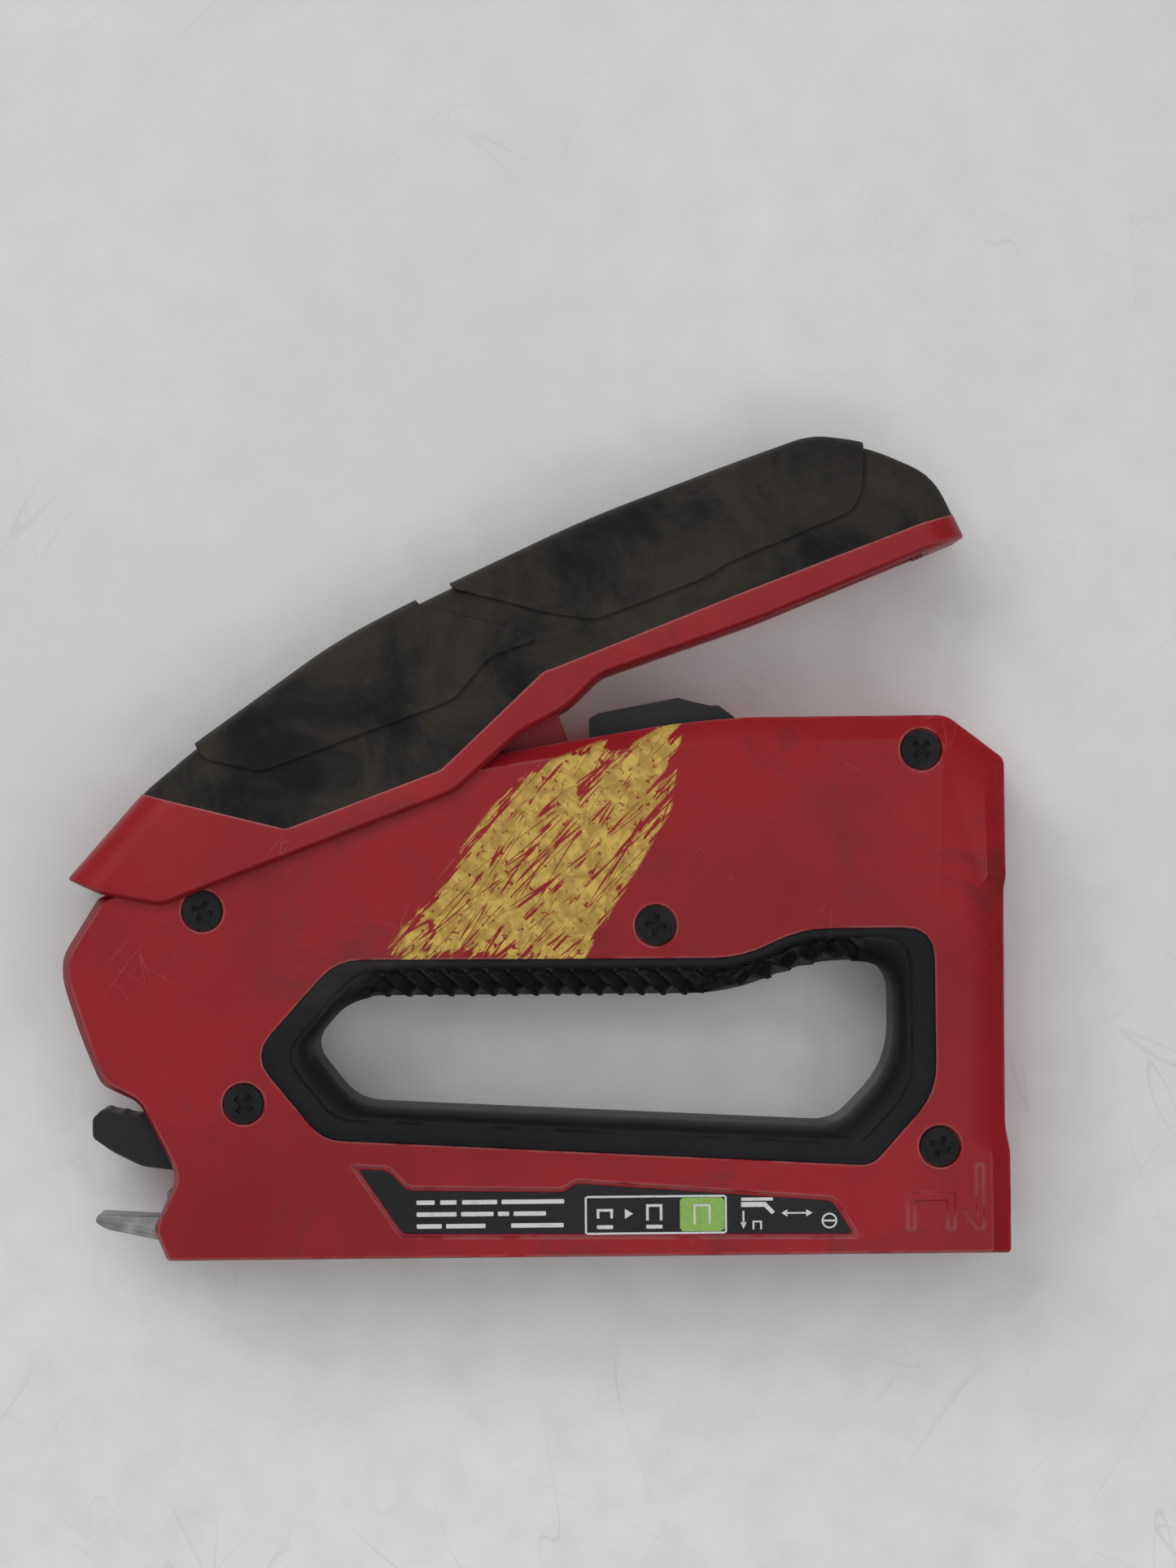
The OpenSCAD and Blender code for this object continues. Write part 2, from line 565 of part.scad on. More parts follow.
module rod_stop() {
    color("silver") difference() {
        block(rail_x1 - 1.5, rail_x1, -rail_half + sheet, rail_half - sheet, 1.4, rail_z - sheet);
        translate([rail_x1 - 3, 0, rod_z]) rotate([0, 90, 0]) cylinder(r = rod_r, h = 5);
    }
}
module pusher_block() {
    color([0.2, 0.2, 0.22]) difference() {
        block(pusher_x, pusher_x + 7, -rail_half + sheet + 0.2, rail_half - sheet - 0.2, 2, rail_z - sheet - 0.2);
        translate([pusher_x - over, 0, rod_z]) rotate([0, 90, 0]) cylinder(r = rod_r + running, h = 7 + 2 * over);
    }
}
pusher_half = channel_half - sheet - 0.15;
module pusher() {
    color("silver") {
        difference() {
            block(pusher_x + 1, pusher_x + 9, -pusher_half, pusher_half, 1.4, rail_z + 0.7);
            block(pusher_x, pusher_x + 10, -rail_half - 0.15, rail_half + 0.15, 0, rail_z + 0.15);
        }
        block(pusher_x + 2, pusher_x + 6, -1, 1, rail_z - sheet - 0.2, rail_z + 0.5);
    }
}
module pusher_spring() {
    color("dimgray") translate([rail_x0 + 1.5, 0, rod_z]) rotate([0, 90, 0])
        coil(2.2, 0.7, pusher_x - rail_x0 - 1.5, 24, 10);
}

right_housing();
left_housing();
right_finger_grip();
left_finger_grip();
right_label();
left_label();
housing_screws();
nose_plate();
striker_guide();
staple_channel();
handle_pivot_pin();
lever_pivot_pin();
latch_pivot_pin();
drive_spring();
drive_spring_cap();
striker_bumper();
lever_return_spring();
latch_spring();
handle_shell();
handle_grip();
handle_cam();
right_lever_plate();
left_lever_plate();
lever_bush();
lever_roller();
lever_roller_pin();
lever_lift_pin();
striker_block();
driver_blade();
striker_rivet();
storage_lock();
magazine_latch();
core_rail();
spring_rod();
rod_stop();
pusher_spring();
pusher();
pusher_block();
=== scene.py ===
import math

import bmesh
import bpy
from mathutils import Matrix, Vector


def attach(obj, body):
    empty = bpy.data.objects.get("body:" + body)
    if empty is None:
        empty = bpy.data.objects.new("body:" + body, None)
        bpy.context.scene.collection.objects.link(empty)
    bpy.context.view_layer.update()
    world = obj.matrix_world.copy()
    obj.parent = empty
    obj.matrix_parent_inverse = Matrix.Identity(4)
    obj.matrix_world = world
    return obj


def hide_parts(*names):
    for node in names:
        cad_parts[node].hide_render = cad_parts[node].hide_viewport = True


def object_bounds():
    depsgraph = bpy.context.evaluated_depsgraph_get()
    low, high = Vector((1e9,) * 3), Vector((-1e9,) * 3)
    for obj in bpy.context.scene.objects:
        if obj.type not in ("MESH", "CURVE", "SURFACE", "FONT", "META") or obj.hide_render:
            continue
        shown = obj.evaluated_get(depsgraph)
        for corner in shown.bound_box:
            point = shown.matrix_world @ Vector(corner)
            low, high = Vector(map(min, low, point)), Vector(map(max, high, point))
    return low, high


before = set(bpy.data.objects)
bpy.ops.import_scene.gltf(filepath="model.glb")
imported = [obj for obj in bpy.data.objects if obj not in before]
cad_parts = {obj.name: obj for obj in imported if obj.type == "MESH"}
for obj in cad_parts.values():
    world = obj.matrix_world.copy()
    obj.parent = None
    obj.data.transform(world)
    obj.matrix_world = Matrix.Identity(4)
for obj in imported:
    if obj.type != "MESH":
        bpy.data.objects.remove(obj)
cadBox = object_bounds()
mm = 0.001
scene = bpy.context.scene
print("frame loaded,", len(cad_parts), "nodes")


# camera, lights and the pale card close behind the tool, in millimetres unless said
view = {"centre": (8.7, 75.8), "width": 187.9, "distance": 800, "side": -14, "roll": 0.58}
studio = {  # the card's gap is in millimetres and its size in metres
          "worldColour": (0.93, 0.95, 1.0), "worldStrength": 0.33, "tableGap": 0.4,
          "tableSize": 3.0, "tableColours": ((0.66, 0.665, 0.655), (0.76, 0.76, 0.75)),
          # the third colour is painted shade, laid over the table's upper left in place of light falling off
          # there
          "tablePaintedShade": (0.36, 0.365, 0.36), "tableMottle": (0.60, 0.60, 0.585),
          "tableScratch": (0.42, 0.42, 0.40)}
lamps = [  # name, place in metres, size in metres, watts
    ("keyLamp", (-0.42, -1.05, 0.62), 0.7, 5.7),
    ("frontLamp", (0.25, -1.5, -0.05), 1.1, 8.6),
    ("topLamp", (0.0, -0.15, 1.2), 0.7, 1.1),
    ("rearLamp", (-0.35, 1.0, 0.5), 0.9, 7),
    ("rearFill", (0.8, 0.8, 0.1), 0.9, 3)]
target = Vector((0.008, 0, 0.062))


def addCamera():
    data = bpy.data.cameras.new("camera")
    data.sensor_fit = "HORIZONTAL"
    data.sensor_width = 36
    data.lens = data.sensor_width * view["distance"] / view["width"]
    data.clip_start = 0.01
    camera = bpy.data.objects.new("camera", data)
    roll = math.radians(view["roll"])
    right = Vector((math.cos(roll), 0, -math.sin(roll)))
    up = Vector((math.sin(roll), 0, math.cos(roll)))
    place = Vector((view["centre"][0], view["side"] - view["distance"], view["centre"][1])) * mm
    turn = Matrix((right, up, Vector((0, -1, 0)))).transposed().to_4x4()
    camera.matrix_world = Matrix.Translation(place) @ turn
    scene.collection.objects.link(camera)
    scene.camera = camera


def addLamps():
    for name, place, size, power in lamps:
        data = bpy.data.lights.new(name, "AREA")
        data.size = size
        data.energy = power
        lamp = bpy.data.objects.new(name, data)
        lamp.location = place
        lamp.rotation_euler = (target - lamp.location).to_track_quat("-Z", "Y").to_euler()
        scene.collection.objects.link(lamp)


# small helpers for node trees
def put(tree, socket, value):
    if isinstance(value, bpy.types.NodeSocket):
        tree.links.new(value, socket)
    elif socket.type == "RGBA" and len(value) == 3:
        socket.default_value = (*value, 1)
    else:
        socket.default_value = value


def add(tree, kind, inputs=None, out=0, **settings):
    node = tree.nodes.new("ShaderNode" + kind)
    for key, value in settings.items():
        setattr(node, key, value)
    for key, value in (inputs or {}).items():
        put(tree, node.inputs[key], value)
    return node.outputs[out]


def calc(tree, operation, *values):
    return add(tree, "Math", dict(enumerate(values)), operation=operation)


def plus(tree, first, second):
    return calc(tree, "ADD", first, second)


def minus(tree, first, second):
    return calc(tree, "SUBTRACT", first, second)


def times(tree, first, second):
    return calc(tree, "MULTIPLY", first, second)


def step(tree, value, low, high, smallest=0.0, largest=1.0):
    return add(tree, "MapRange", {"Value": value, "From Min": low, "From Max": high,
               "To Min": smallest, "To Max": largest}, interpolation_type="SMOOTHSTEP")


def blendColour(tree, share, first, second):
    return add(tree, "Mix", {0: share, 6: first, 7: second}, out=2, data_type="RGBA")


def noise(tree, place, scale, detail=3.0, distortion=0.0, rough=0.55):
    return add(tree, "TexNoise", {"Vector": place, "Scale": scale, "Detail": detail,
               "Distortion": distortion, "Roughness": rough})


def turned(tree, place, turn, scale):  # turns first and then stretches
    inverse = tuple(1 / part for part in scale)
    return add(tree, "Mapping", {"Vector": place, "Rotation": turn, "Scale": inverse}, vector_type="TEXTURE")


def objectPlace(tree):
    return tree.nodes.new("ShaderNodeTexCoord").outputs["Object"]


def newGroup(name, inputs, outputs):
    tree = bpy.data.node_groups.new(name, "ShaderNodeTree")
    for label, kind, value in inputs:
        socket = tree.interface.new_socket(label, in_out="INPUT", socket_type="NodeSocket" + kind)
        if value is not None:
            socket.default_value = value
    for label, kind in outputs:
        tree.interface.new_socket(label, in_out="OUTPUT", socket_type="NodeSocket" + kind)
    return tree, tree.nodes.new("NodeGroupInput").outputs, tree.nodes.new("NodeGroupOutput").inputs


def useGroup(tree, group, inputs, out=0):
    node = tree.nodes.new("ShaderNodeGroup")
    node.node_tree = group
    for key, value in inputs.items():
        put(tree, node.inputs[key], value)
    return node.outputs[out]


# shared effects, as node groups
def buildEdgeWear():  # broken light rims where edges rub
    tree, ins, outs = newGroup("edgeWear", [("Place", "Vector", None), ("Reach", "Float", 0.0006),
                                            ("Amount", "Float", 0.5)], [("Mask", "Float")])
    soft = add(tree, "Bevel", {"Radius": ins["Reach"]}, samples=4)
    plain = tree.nodes.new("ShaderNodeNewGeometry").outputs["Normal"]
    bend = add(tree, "VectorMath", {0: soft, 1: plain}, out="Value", operation="DOT_PRODUCT")
    rim = step(tree, minus(tree, 1.0, bend), 0.01, 0.14)
    patches = noise(tree, ins["Place"], 160, 4)
    broken = step(tree, plus(tree, patches, times(tree, ins["Amount"], 0.5)), 0.62, 0.8)
    put(tree, outs["Mask"], times(tree, rim, broken))
    return tree


scratchLines = (  # turn, across, along, width
    (0.5, 150, 22, 0.004), (-0.9, 120, 17, 0.004), (1.35, 170, 26, 0.004))


def buildScratches():  # thin crossing lines, in patches
    tree, ins, outs = newGroup("scratches", [("Place", "Vector", None), ("Amount", "Float", 0.5)],
                               [("Mask", "Float")])
    lines = []
    for turn, across, along, width in scratchLines:
        # the lines are the level lines of a stretched noise
        stretched = turned(tree, ins["Place"], (0, turn, 0), (along, 60, across))
        pattern = noise(tree, stretched, 1.0, 1.0, 0.2)
        level = calc(tree, "ABSOLUTE", minus(tree, pattern, 0.5 + turn * 0.02))
        lines.append(step(tree, level, 0.0, width, 1.0, 0.0))
    joined = calc(tree, "MAXIMUM", calc(tree, "MAXIMUM", lines[0], lines[1]), lines[2])
    clouds = noise(tree, ins["Place"], 70, 3)
    patches = step(tree, plus(tree, clouds, times(tree, ins["Amount"], 0.3)), 0.6, 0.82)
    put(tree, outs["Mask"], times(tree, joined, patches))
    return tree


def buildDirt():  # cloudy grime with small specks
    tree, ins, outs = newGroup("dirt", [("Place", "Vector", None), ("Scale", "Float", 60.0),
                                        ("Amount", "Float", 0.5)], [("Mask", "Float"), ("Specks", "Float")])
    cloud = noise(tree, ins["Place"], ins["Scale"], 6.0, 0.6, 0.65)
    put(tree, outs["Mask"], step(tree, plus(tree, cloud, times(tree, ins["Amount"], 0.3)), 0.6, 0.86))
    cells = add(tree, "TexVoronoi", {"Vector": ins["Place"], "Scale": 420.0, "Randomness": 1.0})
    thin = noise(tree, ins["Place"], 110, 2)
    spots = step(tree, cells, 0.05, 0.16, 1.0, 0.0)
    put(tree, outs["Specks"], times(tree, spots, step(tree, thin, 0.55, 0.7)))
    return tree


def buildGrain():  # fine moulded or cast texture, as a height
    tree, ins, outs = newGroup("grain", [("Place", "Vector", None), ("Scale", "Float", 1800.0)],
                               [("Height", "Float")])
    fine = add(tree, "TexNoise", {"Vector": ins["Place"], "Scale": ins["Scale"], "Detail": 3.0})
    coarse = noise(tree, ins["Place"], 240, 2)
    put(tree, outs["Height"], plus(tree, fine, times(tree, coarse, 0.5)))
    return tree


paint = {  # the old yellow smear; each edge of its patch is a point x, z and a direction inwards
    "edges": [(-24.8, 47.6, 0.80, -0.60), (-4.7, 76.4, 0.36, -0.93), (23.6, 85, -0.989, 0.146),
              (21.3, 71, -0.859, 0.512), (0, 47.4, 0, 1)],
    "strokeTurn": -0.8, "strokeStretch": (60, 20, 700), "strokeReach": 22.0, "blotReach": 12.0,
    "scores": [  # turn, along, across, width
        (-0.8, 14, 360, 0.018), (-0.65, 18, 300, 0.013), (-1.0, 16, 420, 0.012)],
    "colours": ((0.36, 0.22, 0.05), (0.56, 0.38, 0.085)), "height": 6.0}


def buildPaint():
    tree, ins, outs = newGroup("paintSmear", [("Place", "Vector", None)],
                               [("Mask", "Float"), ("Thickness", "Float")])
    parts = tree.nodes.new("ShaderNodeSeparateXYZ")
    put(tree, parts.inputs[0], ins["Place"])
    x = times(tree, parts.outputs["X"], 1000.0)
    z = times(tree, parts.outputs["Z"], 1000.0)
    depth = None
    for edgeX, edgeZ, acrossX, acrossZ in paint["edges"]:
        inside = plus(tree, times(tree, minus(tree, x, edgeX), acrossX),
                      times(tree, minus(tree, z, edgeZ), acrossZ))
        depth = inside if depth is None else calc(tree, "MINIMUM", depth, inside)
    strokes = turned(tree, ins["Place"], (0, paint["strokeTurn"], 0), paint["strokeStretch"])
    streak = noise(tree, strokes, 1.0, 3.0, 0.5)
    blots = noise(tree, ins["Place"], 130, 5, 0.8)
    flakes = noise(tree, ins["Place"], 900, 4, 0.8)
    strokeEdge = times(tree, minus(tree, streak, 0.5), paint["strokeReach"])
    blotEdge = times(tree, minus(tree, blots, 0.42), paint["blotReach"])
    ragged = plus(tree, depth, plus(tree, strokeEdge, blotEdge))
    body = times(tree, step(tree, ragged, 0.6, 1.2), step(tree, flakes, 0.33, 0.40))
    missing = None  # thin lines scored through the paint
    for turn, along, across, width in paint["scores"]:
        line = noise(tree, turned(tree, ins["Place"], (0, turn, 0), (along, 20, across)), 1.0, 2.0, 0.3)
        gap = step(tree, calc(tree, "ABSOLUTE", minus(tree, line, 0.5)), width * 0.5, width)
        missing = gap if missing is None else calc(tree, "MINIMUM", missing, gap)
    scored = calc(tree, "MAXIMUM", missing, step(tree, noise(tree, ins["Place"], 210, 2), 0.5, 0.6))
    total = times(tree, body, scored)
    rightSide = step(tree, parts.outputs["Y"], -0.006, -0.004, 1.0, 0.0)
    inPatch = step(tree, depth, -0.6, 0.0)
    shown = times(tree, total, times(tree, rightSide, inPatch))
    put(tree, outs["Mask"], shown)
    put(tree, outs["Thickness"], times(tree, flakes, shown))
    return tree


edgeWear = buildEdgeWear()
scratches = buildScratches()
dirt = buildDirt()
grain = buildGrain()
paintSmear = buildPaint()


# materials
def newMaterial(name):
    material = bpy.data.materials.new(name)
    material.use_nodes = True
    tree = material.node_tree
    tree.nodes.clear()
    shader = tree.nodes.new("ShaderNodeBsdfPrincipled")
    output = tree.nodes.new("ShaderNodeOutputMaterial")
    tree.links.new(shader.outputs[0], output.inputs["Surface"])
    return material, tree, shader


def addBump(tree, shader, height, distance, strength=1.0, normal=None):
    bump = tree.nodes.new("ShaderNodeBump")
    bump.inputs["Distance"].default_value = distance
    bump.inputs["Strength"].default_value = strength
    put(tree, bump.inputs["Height"], height)
    if normal is not None:
        put(tree, bump.inputs["Normal"], normal)
    tree.links.new(bump.outputs[0], shader.inputs["Normal"])


plasticLooks = {
    "redPlastic": {"colour": (0.285, 0.0115, 0.0165), "shade": (0.215, 0.008, 0.012),
                   "worn": (0.47, 0.22, 0.21),
                   "grime": (0.045, 0.018, 0.016), "rough": 0.40, "grain": 2600.0, "grainHeight": 0.00001,
                   "wear": 0.55, "scratch": 0.12, "dirt": 0.3, "gloss": 0.11, "yellow": True},
    "handleRed": {"colour": (0.295, 0.015, 0.019), "shade": (0.240, 0.011, 0.015),
                  "worn": (0.52, 0.30, 0.28),
                  "grime": (0.05, 0.02, 0.018), "rough": 0.40, "grain": 2600.0, "grainHeight": 0.00001,
                  "wear": 0.75, "scratch": 0.14, "dirt": 0.28, "gloss": 0.12, "yellow": False},
    "blackRubber": {"colour": (0.0125, 0.0128, 0.0140), "shade": (0.0090, 0.0092, 0.0105),
                    "worn": (0.06, 0.058, 0.055),
                    "grime": (0.052, 0.042, 0.029), "rough": 0.7, "grain": 2200.0, "grainHeight": 0.00003,
                    "wear": 0.25, "scratch": 0.02, "dirt": 0.8, "gloss": 0.08, "yellow": False},
    "trimRubber": {"colour": (0.0118, 0.0122, 0.0140), "shade": (0.0085, 0.0088, 0.0100),
                   "worn": (0.05, 0.05, 0.05),
                   "grime": (0.045, 0.038, 0.026), "rough": 0.55, "grain": 2200.0, "grainHeight": 0.00002,
                   "wear": 0.4, "scratch": 0.05, "dirt": 0.2, "gloss": 0.09, "yellow": False},
    "blackPlastic": {"colour": (0.018, 0.0185, 0.021), "shade": (0.012, 0.0125, 0.0145),
                     "worn": (0.09, 0.09, 0.09),
                     "grime": (0.05, 0.045, 0.036), "rough": 0.46, "grain": 2400.0, "grainHeight": 0.00002,
                     "wear": 0.5, "scratch": 0.1, "dirt": 0.15, "gloss": 0.12, "yellow": False},
    "labelFilm": {"colour": (0.0165, 0.017, 0.019), "shade": (0.012, 0.0125, 0.014),
                  "worn": (0.10, 0.10, 0.10),
                  "grime": (0.06, 0.055, 0.045), "rough": 0.5, "grain": 1500.0, "grainHeight": 0.00005,
                  "wear": 0.1, "scratch": 0.1, "dirt": 0.10, "gloss": 0.1, "yellow": False}}


plasticShares = {"grime": 0.55, "specks": 0.5, "lines": 0.32, "rim": 0.5}


def plastic(name):
    look = plasticLooks[name]
    material, tree, shader = newMaterial(name)
    place = objectPlace(tree)
    clouds = step(tree, noise(tree, place, 28, 4), 0.35, 0.68)
    colour = blendColour(tree, clouds, look["shade"], look["colour"])
    grime = useGroup(tree, dirt, {"Place": place, "Scale": 55.0, "Amount": look["dirt"]})
    specks = useGroup(tree, dirt, {"Place": place, "Scale": 90.0, "Amount": look["dirt"]}, out=1)
    colour = blendColour(tree, times(tree, grime, plasticShares["grime"]), colour, look["grime"])
    colour = blendColour(tree, times(tree, specks, plasticShares["specks"]), colour, look["grime"])
    lines = useGroup(tree, scratches, {"Place": place, "Amount": look["scratch"]})
    colour = blendColour(tree, times(tree, lines, plasticShares["lines"]), colour, look["worn"])
    rim = useGroup(tree, edgeWear, {"Place": place, "Reach": 0.0007, "Amount": look["wear"]})
    colour = blendColour(tree, times(tree, rim, plasticShares["rim"]), colour, look["worn"])
    rough = plus(tree, times(tree, noise(tree, place, 90, 4), 0.18), look["rough"] - 0.09)
    height = useGroup(tree, grain, {"Place": place, "Scale": look["grain"]})
    height = minus(tree, height, times(tree, lines, 0.8))
    if look["yellow"]:
        smear = useGroup(tree, paintSmear, {"Place": place})
        thick = useGroup(tree, paintSmear, {"Place": place}, out=1)
        clouds = step(tree, noise(tree, place, 500, 4, 0.6), 0.38, 0.66)
        yellow = blendColour(tree, clouds, *paint["colours"])
        colour = blendColour(tree, smear, colour, yellow)
        rough = plus(tree, rough, times(tree, smear, 0.15))
        height = plus(tree, height, times(tree, thick, paint["height"]))
    shader.inputs["Specular IOR Level"].default_value = look["gloss"]
    put(tree, shader.inputs["Base Color"], colour)
    put(tree, shader.inputs["Roughness"], rough)
    soft = add(tree, "Bevel", {"Radius": 0.0003}, samples=4)
    addBump(tree, shader, height, look["grainHeight"], 1.0, soft)
    return material


metalLooks = {
    "blackSteel": {"colour": (0.0085, 0.0085, 0.0098), "bright": (0.022, 0.022, 0.023),
                   "rough": 0.5, "metal": 0.0, "gloss": 0.06},
    "zincSteel": {"colour": (0.085, 0.085, 0.084), "bright": (0.27, 0.27, 0.268),
                  "rough": 0.36, "metal": 0.85, "gloss": 0.5},
    "springSteel": {"colour": (0.16, 0.16, 0.17), "bright": (0.38, 0.38, 0.39),
                    "rough": 0.32, "metal": 0.9, "gloss": 0.5},
    "leverSteel": {"colour": (0.20, 0.20, 0.205), "bright": (0.42, 0.42, 0.43),
                   "rough": 0.38, "metal": 0.9, "gloss": 0.5},
    "bronze": {"colour": (0.36, 0.23, 0.09), "bright": (0.58, 0.42, 0.2),
               "rough": 0.35, "metal": 0.9, "gloss": 0.5}}


def metal(name):
    look = metalLooks[name]
    material, tree, shader = newMaterial(name)
    place = objectPlace(tree)
    brushed = noise(tree, turned(tree, place, (0, 0.2, 0), (120, 600, 2600)), 1.0, 3.0)
    spangle = add(tree, "TexVoronoi", {"Vector": place, "Scale": 380.0}, out="Distance")
    tone = plus(tree, times(tree, brushed, 0.7), times(tree, spangle, 0.4))
    colour = blendColour(tree, step(tree, tone, 0.25, 1.1), look["colour"], look["bright"])
    lines = useGroup(tree, scratches, {"Place": place, "Amount": 0.8})
    rim = useGroup(tree, edgeWear, {"Place": place, "Reach": 0.0004, "Amount": 0.6})
    rubbed = times(tree, calc(tree, "MAXIMUM", lines, rim), 0.5)
    colour = blendColour(tree, rubbed, colour, look["bright"])
    grime = useGroup(tree, dirt, {"Place": place, "Scale": 120.0, "Amount": 0.3})
    colour = blendColour(tree, times(tree, grime, 0.25), colour, (0.03, 0.026, 0.02))
    put(tree, shader.inputs["Base Color"], colour)
    rough = plus(tree, times(tree, brushed, 0.2), look["rough"] - 0.1)
    put(tree, shader.inputs["Roughness"], rough)
    shader.inputs["Metallic"].default_value = look["metal"]
    shader.inputs["Specular IOR Level"].default_value = look["gloss"]
    addBump(tree, shader, minus(tree, brushed, lines), 0.00002)
    return material


inkLooks = {"whiteInk": (0.55, 0.55, 0.53), "greenInk": (0.185, 0.36, 0.04)}


def ink(name):
    material, tree, shader = newMaterial(name)
    place = objectPlace(tree)
    rubbed = step(tree, noise(tree, place, 700, 4), 0.55, 0.8, 0.0, 0.6)
    lines = useGroup(tree, scratches, {"Place": place, "Amount": 0.9})
    missing = calc(tree, "MAXIMUM", rubbed, times(tree, lines, 0.6))
    darker = tuple(0.55 * part for part in inkLooks[name])
    colour = blendColour(tree, missing, inkLooks[name], darker)
    put(tree, shader.inputs["Base Color"], colour)
    put(tree, shader.inputs["Roughness"], step(tree, rubbed, 0, 1, 0.45, 0.65))
    addBump(tree, shader, noise(tree, place, 1500, 3), 0.00002)
    return material


def tableTop():  # seen from its front only, so views from behind look through it
    material, tree, shader = newMaterial("tableTop")
    place = objectPlace(tree)
    clouds = step(tree, noise(tree, place, 5, 5, 0.4), 0.3, 0.7)
    colour = blendColour(tree, clouds, *studio["tableColours"])
    mottle = noise(tree, place, 120, 5)
    parts = tree.nodes.new("ShaderNodeSeparateXYZ")
    put(tree, parts.inputs[0], place)
    # painted shade: the table's colour darkens towards the upper left, in place of light falling off there
    slant = minus(tree, times(tree, parts.outputs["X"], 0.5), parts.outputs["Z"])
    colour = blendColour(tree, step(tree, slant, -0.25, 0.1, 0.28, 0.0), colour, studio["tablePaintedShade"])
    colour = blendColour(tree, step(tree, mottle, 0.4, 0.75, 0.0, 0.35), colour, studio["tableMottle"])
    shrunk = turned(tree, place, (0, 0, 0), (0.45, 0.45, 0.45))
    lines = useGroup(tree, scratches, {"Place": shrunk, "Amount": 0.35})
    colour = blendColour(tree, times(tree, lines, 0.3), colour, studio["tableScratch"])
    put(tree, shader.inputs["Base Color"], colour)
    put(tree, shader.inputs["Roughness"], step(tree, mottle, 0.2, 0.8, 0.5, 0.7))
    addBump(tree, shader, mottle, 0.00005)
    clear = tree.nodes.new("ShaderNodeBsdfTransparent")
    choice = tree.nodes.new("ShaderNodeMixShader")
    put(tree, choice.inputs[0], tree.nodes.new("ShaderNodeNewGeometry").outputs["Backfacing"])
    tree.links.new(shader.outputs[0], choice.inputs[1])
    tree.links.new(clear.outputs[0], choice.inputs[2])
    output = next(node for node in tree.nodes if node.type == "OUTPUT_MATERIAL")
    tree.links.new(choice.outputs[0], output.inputs["Surface"])
    return material


def addStage():
    bm = bmesh.new()
    bmesh.ops.create_grid(bm, x_segments=4, y_segments=4, size=studio["tableSize"] / 2)
    y = cadBox[1][1] + studio["tableGap"] * mm
    upright = Matrix.Translation((0, y, 0)) @ Matrix.Rotation(math.pi / 2, 4, "X")
    bmesh.ops.transform(bm, matrix=upright, verts=bm.verts)
    mesh = bpy.data.meshes.new("tableTop")
    bm.to_mesh(mesh)
    bm.free()
    mesh.materials.append(tableTop())
    table = bpy.data.objects.new("tableTop", mesh)
    table.visible_shadow = False
    table.visible_diffuse = False
    scene.collection.objects.link(table)
    world = bpy.data.worlds.new("studioAir")
    world.use_nodes = True
    air = world.node_tree.nodes["Background"]
    air.inputs["Color"].default_value = (*studio["worldColour"], 1)
    air.inputs["Strength"].default_value = studio["worldStrength"]
    scene.world = world


addCamera()
addLamps()
addStage()
scene.view_settings.view_transform = "Standard"
looks = {name: plastic(name) for name in plasticLooks}
looks.update({name: metal(name) for name in metalLooks})
looks.update({name: ink(name) for name in inkLooks})
print("studio and materials made")


# helpers for meshes; all of these work in millimetres
def shadeByAngle(bm, angle):
    for face in bm.faces:
        face.smooth = True
    for edge in bm.edges:
        edge.smooth = len(edge.link_faces) == 2 and edge.calc_face_angle(0) < math.radians(angle)


def finishPiece(bm, name, look, body, nodes=(), sharp=34, scale=mm):
    bmesh.ops.scale(bm, vec=(scale,) * 3, verts=bm.verts)
    shadeByAngle(bm, sharp)
    mesh = bpy.data.meshes.new(name)
    bm.to_mesh(mesh)
    bm.free()
    mesh.materials.append(looks[look])
    piece = bpy.data.objects.new(name, mesh)
    scene.collection.objects.link(piece)
    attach(piece, body)
    if nodes:
        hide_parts(*nodes)
    return piece


def vertsOf(result):
    return [item for item in result["geom"] if isinstance(item, bmesh.types.BMVert)]


def roundCorner(bm, vert, reach, steps):
    bmesh.ops.bevel(bm, geom=[vert], offset=reach, offset_type="OFFSET", segments=steps, profile=0.5,
                    affect="VERTICES", material=-1)


def mirrorAcross(bm):  # the right piece becomes the left one
    bmesh.ops.scale(bm, vec=(1, -1, 1), verts=bm.verts)
    bmesh.ops.recalc_face_normals(bm, faces=bm.faces)


def roundEdges(piece, width, segments, angle, harden=False):
    rounding = piece.modifiers.new("rounding", "BEVEL")
    rounding.width = width * mm
    rounding.segments = segments
    rounding.limit_method = "ANGLE"
    rounding.angle_limit = math.radians(angle)
    rounding.harden_normals = harden


def roundOutline(bm, points, y, steps=4):  # a flat face from corners given as (x, z, reach)
    verts = [bm.verts.new((x, y, z)) for x, z, _ in points]
    face = bm.faces.new(verts)
    for vert, (_, _, reach) in zip(verts, points):
        if reach > 0:
            roundCorner(bm, vert, reach, steps)
    return next(face for face in bm.faces if len(face.verts) >= len(points))


def prism(points, low, high, steps=4):  # an outline made solid between two places across the tool
    bm = bmesh.new()
    face = roundOutline(bm, points, low, steps)
    moved = bmesh.ops.extrude_face_region(bm, geom=[face])
    bmesh.ops.translate(bm, vec=(0, high - low, 0), verts=vertsOf(moved))
    bmesh.ops.recalc_face_normals(bm, faces=bm.faces)
    return bm


def asObject(bm, name):
    mesh = bpy.data.meshes.new(name)
    bm.to_mesh(mesh)
    bm.free()
    item = bpy.data.objects.new(name, mesh)
    scene.collection.objects.link(item)
    return item


